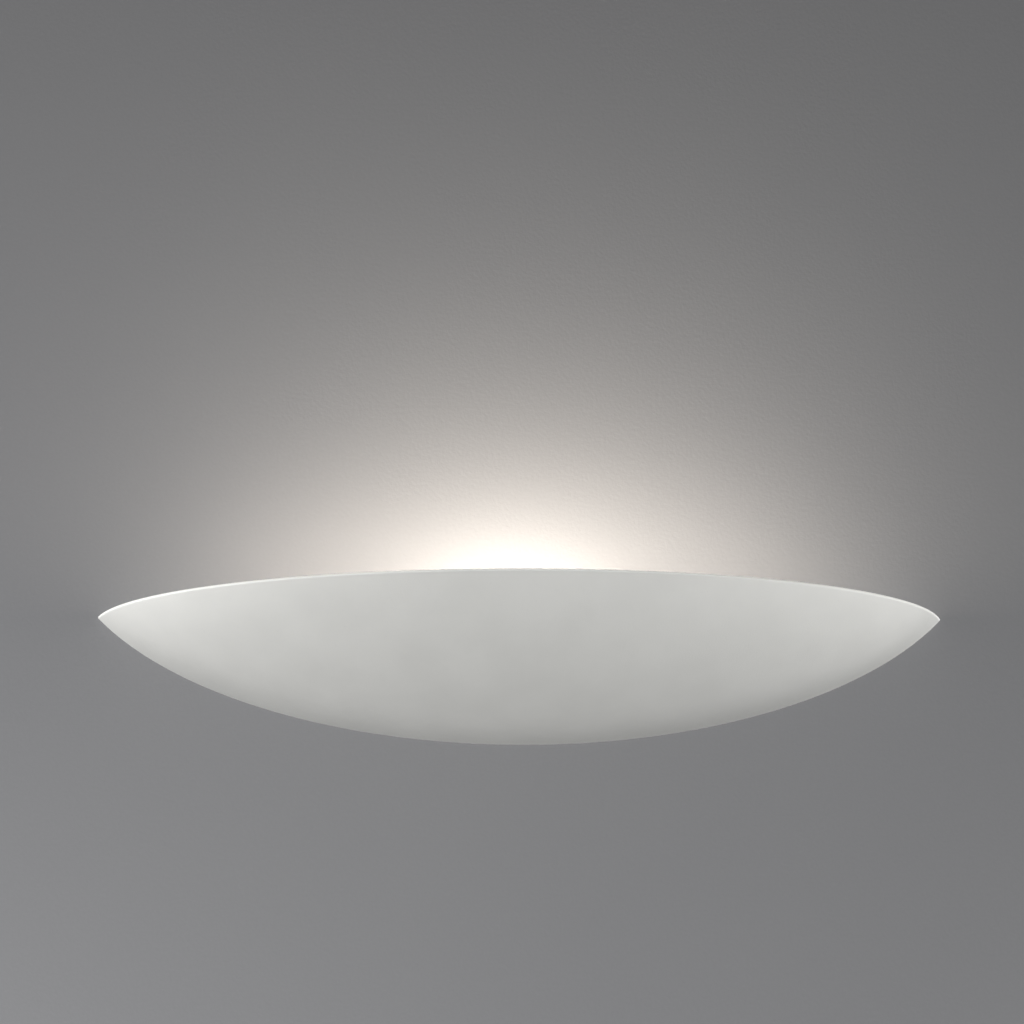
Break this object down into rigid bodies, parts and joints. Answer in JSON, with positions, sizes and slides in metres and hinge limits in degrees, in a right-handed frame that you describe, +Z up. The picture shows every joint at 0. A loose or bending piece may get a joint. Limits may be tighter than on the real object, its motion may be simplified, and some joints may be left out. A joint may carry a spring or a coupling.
{
  "type": "wall light",
  "caption": "Uplighter wall sconce: a wide, shallow half-boat bowl in matt white ceramic, hung on a hidden steel wall plate that carries a double-ended lamp.",
  "frame": {"origin": "on the wall plane, midway between the two slots for the wall screws", "axes": "+Z up, +Y into the wall, so the bowl lies at negative y; +X to the right for someone facing the wall, along the bowl's width"},
  "size_m": [0.6002, 0.145, 0.093],
  "materials": {
    "ceramic": "matt white fired ceramic, unglazed outside",
    "zinc_steel": "zinc-plated, dull",
    "stud_steel": "zinc-plated thread",
    "reflector_aluminium": "bright rolled",
    "steatite": "unglazed off-white",
    "lamp_ceramic": "matt white",
    "quartz": "clear",
    "tungsten": "drawn wire",
    "contact_metal": "silvered",
    "brass": "turned",
    "mica": "pressed sheet",
    "spring_steel": "bright wire",
    "nylon": "natural white",
    "bushing_plastic": "black",
    "live_sleeve": "brown braided glass-fibre sleeve",
    "neutral_sleeve": "blue braided glass-fibre sleeve",
    "earth_sleeve": "green and yellow braided sleeve"
  },
  "bodies": {
    "root": {"ceramic_body": "ceramic", "wall_plate": "zinc_steel", "ceramic_studs": "stud_steel", "stud_washers": "nylon", "cable_bushing": "bushing_plastic", "lamp_carrier": "zinc_steel", "carrier_screws": "stud_steel", "lead_clips": "zinc_steel", "reflector": "reflector_aluminium", "reflector_rivets": "reflector_aluminium", "lampholder_right": "steatite", "lampholder_left": "steatite", "holder_screws": "stud_steel", "insulator_discs": "mica", "contact_spring_right": "spring_steel", "contact_spring_left": "spring_steel", "terminal_block": "nylon", "terminal_inserts": "brass", "terminal_screws": "stud_steel", "terminal_fixing_screw": "stud_steel", "earth_tag": "contact_metal", "earth_washer": "spring_steel", "earth_screw": "stud_steel", "lead_ferrules": "contact_metal", "live_lead": "live_sleeve", "neutral_lead": "neutral_sleeve", "earth_lead": "earth_sleeve"},
    "lamp": {"lamp_tube": "quartz", "lamp_filament": "tungsten", "lamp_filament_supports": "tungsten", "lamp_cap_left": "lamp_ceramic", "lamp_cap_right": "lamp_ceramic", "lamp_contact_pins": "contact_metal"},
    "contact_left": {"contact_left": "contact_metal"},
    "contact_right": {"contact_right": "contact_metal"},
    "nut_left": {"knurled_nut_left": "brass"},
    "nut_right": {"knurled_nut_right": "brass"}
  },
  "joints": [
    {"name": "lamp_shift", "type": "slide", "parent": "root", "child": "lamp", "axis": [1, 0, 0], "range_m": [-0.0025, 0.0025], "stiffness_N_per_m": 1600},
    {"name": "contact_left_press", "type": "slide", "parent": "root", "child": "contact_left", "axis": [1, 0, 0], "range_m": [-0.0025, 0.0025], "deforming": ["contact_spring_left"]},
    {"name": "contact_right_press", "type": "slide", "parent": "root", "child": "contact_right", "axis": [1, 0, 0], "range_m": [-0.0025, 0.0025], "deforming": ["contact_spring_right"]},
    {"name": "nut_left_turn", "type": "hinge", "parent": "root", "child": "nut_left", "pos_m": [-0.15, -0.016, 0], "axis": [0, 1, 0], "continuous": true},
    {"name": "nut_right_turn", "type": "hinge", "parent": "root", "child": "nut_right", "pos_m": [0.15, -0.016, 0], "axis": [0, 1, 0], "continuous": true}
  ],
  "couplings": [
    {"joint": "contact_left_press", "follows": "lamp_shift", "ratio": 1},
    {"joint": "contact_right_press", "follows": "lamp_shift", "ratio": 1}
  ]
}
